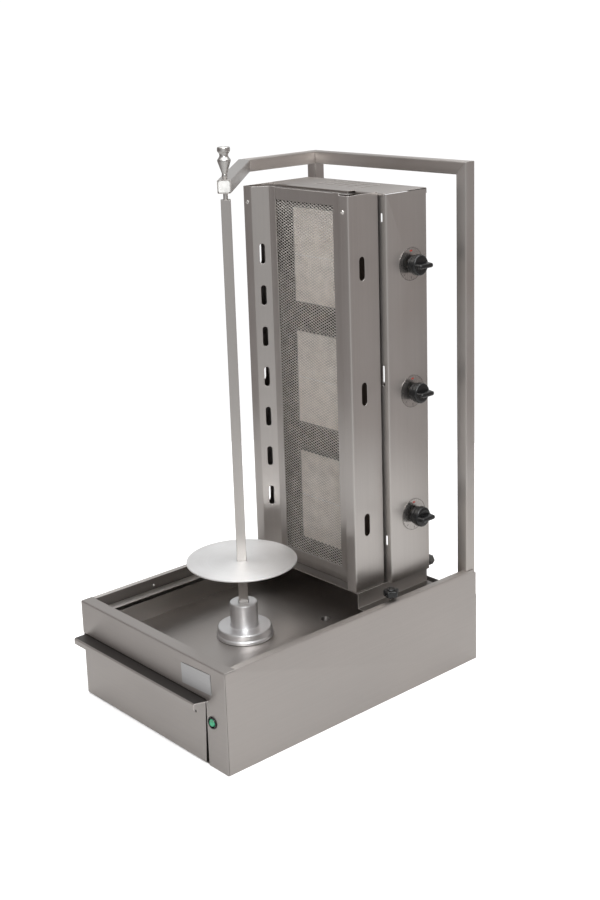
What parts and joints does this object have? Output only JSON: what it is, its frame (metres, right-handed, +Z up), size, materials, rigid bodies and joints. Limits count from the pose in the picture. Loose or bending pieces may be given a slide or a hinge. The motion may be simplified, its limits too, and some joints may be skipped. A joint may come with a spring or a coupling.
{
  "type": "vertical gas rotisserie broiler",
  "caption": "Countertop gas broiler that turns a vertical spit in front of ceramic radiant burners, over a sunken drip pan and a wide drawer.",
  "frame": {"origin": "centre of the underside of the base, on the worktop", "axes": "+Z up, -Y towards the cook (drawer and switch side), +X to the cook's right (tap side)"},
  "size_m": [0.44, 0.692, 1.0574],
  "materials": {
    "stainless": "brushed, folded sheet",
    "tube_steel": "satin square tube",
    "bright_steel": "fine turned or drawn",
    "polished_steel": "polished, turned",
    "aluminium": "turned",
    "white_plastic": "matt",
    "black_plastic": "satin",
    "green_plastic": "gloss",
    "ceramic": "matt, perforated face",
    "brass": "machined",
    "dark_steel": "matt",
    "plate": "satin, blank"
  },
  "bodies": {
    "base": {"base_floor": "stainless", "base_side_left": "stainless", "base_side_right": "stainless", "base_rear_panel": "stainless", "front_fascia": "stainless", "cable_gland": "black_plastic", "slide_ledge_left": "stainless", "slide_ledge_right": "stainless", "drip_pan": "stainless", "upright_left": "tube_steel", "upright_right": "tube_steel", "rear_rail": "tube_steel", "left_rail": "tube_steel", "diagonal_arm": "tube_steel", "arm_bearing_block": "white_plastic", "badge_plate": "plate", "switch_bezel": "black_plastic", "motor_body": "dark_steel", "gearbox_case": "dark_steel"},
    "drawer": {"drawer_front": "stainless", "drawer_tray": "stainless"},
    "carriage": {"carriage_base": "stainless", "cabinet_side_left": "stainless", "cabinet_side_right": "stainless", "cabinet_top": "stainless", "burner_backplate": "stainless", "wing_left": "stainless", "wing_right": "stainless", "window_frame": "stainless", "mesh_guard": "stainless", "burner_box_1": "dark_steel", "burner_box_2": "dark_steel", "burner_box_3": "dark_steel", "ceramic_plaque_1": "ceramic", "ceramic_plaque_2": "ceramic", "ceramic_plaque_3": "ceramic", "feed_tube_1": "bright_steel", "feed_tube_2": "bright_steel", "feed_tube_3": "bright_steel", "gas_manifold": "dark_steel", "tap_body_1": "brass", "tap_body_2": "brass", "tap_body_3": "brass", "dial_plate_1": "plate", "dial_plate_2": "plate", "dial_plate_3": "plate"},
    "clamp_knob": {"star_knob": "black_plastic"},
    "tap_stem_1": {"tap_collar_1": "bright_steel"},
    "tap_stem_2": {"tap_collar_2": "bright_steel"},
    "tap_stem_3": {"tap_collar_3": "bright_steel"},
    "tap_knob_1": {"knob_1": "black_plastic"},
    "tap_knob_2": {"knob_2": "black_plastic"},
    "tap_knob_3": {"knob_3": "black_plastic"},
    "spit": {"drive_hub": "aluminium", "drive_shaft": "bright_steel", "skewer": "bright_steel"},
    "disc": {"meat_disc": "aluminium"},
    "pinion": {"motor_pinion": "brass"},
    "locking_pin": {"top_pin": "polished_steel"},
    "rocker": {"switch_rocker": "green_plastic"}
  },
  "joints": [
    {"name": "drawer_slide", "type": "slide", "parent": "base", "child": "drawer", "axis": [0, -1, 0], "range_m": [0, 0.3]},
    {"name": "carriage_slide", "type": "slide", "parent": "base", "child": "carriage", "axis": [0, 1, 0], "range_m": [-0.05, 0.035]},
    {"name": "clamp_knob_turn", "type": "hinge", "parent": "carriage", "child": "clamp_knob", "pos_m": [0.203, 0.1, 0.207], "axis": [0, 0, 1], "range_deg": [0, 360]},
    {"name": "tap_push_1", "type": "slide", "parent": "carriage", "child": "tap_stem_1", "axis": [-1, 0, 0], "range_m": [0, 0.003], "stiffness_N_per_m": 1500, "springref_m": -0.001},
    {"name": "tap_push_2", "type": "slide", "parent": "carriage", "child": "tap_stem_2", "axis": [-1, 0, 0], "range_m": [0, 0.003], "stiffness_N_per_m": 1500, "springref_m": -0.001},
    {"name": "tap_push_3", "type": "slide", "parent": "carriage", "child": "tap_stem_3", "axis": [-1, 0, 0], "range_m": [0, 0.003], "stiffness_N_per_m": 1500, "springref_m": -0.001},
    {"name": "tap_turn_1", "type": "hinge", "parent": "tap_stem_1", "child": "tap_knob_1", "pos_m": [0.1666, 0.208, 0.8215], "axis": [1, 0, 0], "range_deg": [0, 200]},
    {"name": "tap_turn_2", "type": "hinge", "parent": "tap_stem_2", "child": "tap_knob_2", "pos_m": [0.1666, 0.208, 0.5755], "axis": [1, 0, 0], "range_deg": [0, 200]},
    {"name": "tap_turn_3", "type": "hinge", "parent": "tap_stem_3", "child": "tap_knob_3", "pos_m": [0.1666, 0.208, 0.3265], "axis": [1, 0, 0], "range_deg": [0, 200]},
    {"name": "spit_spin", "type": "hinge", "parent": "base", "child": "spit", "pos_m": [0, -0.098, 0.101], "axis": [0, 0, 1], "continuous": true},
    {"name": "disc_lift", "type": "slide", "parent": "spit", "child": "disc", "axis": [0, 0, 1], "range_m": [0, 0.65]},
    {"name": "pinion_spin", "type": "hinge", "parent": "base", "child": "pinion", "pos_m": [0, -0.062, 0.101], "axis": [0, 0, 1], "continuous": true},
    {"name": "pin_lift", "type": "slide", "parent": "base", "child": "locking_pin", "axis": [0, 0, 1], "range_m": [0, 0.045]},
    {"name": "rocker_tip", "type": "hinge", "parent": "base", "child": "rocker", "pos_m": [0.181, -0.322, 0.0886], "axis": [1, 0, 0], "range_deg": [0, 16]}
  ],
  "couplings": [
    {"joint": "pinion_spin", "follows": "spit_spin", "ratio": -3}
  ]
}
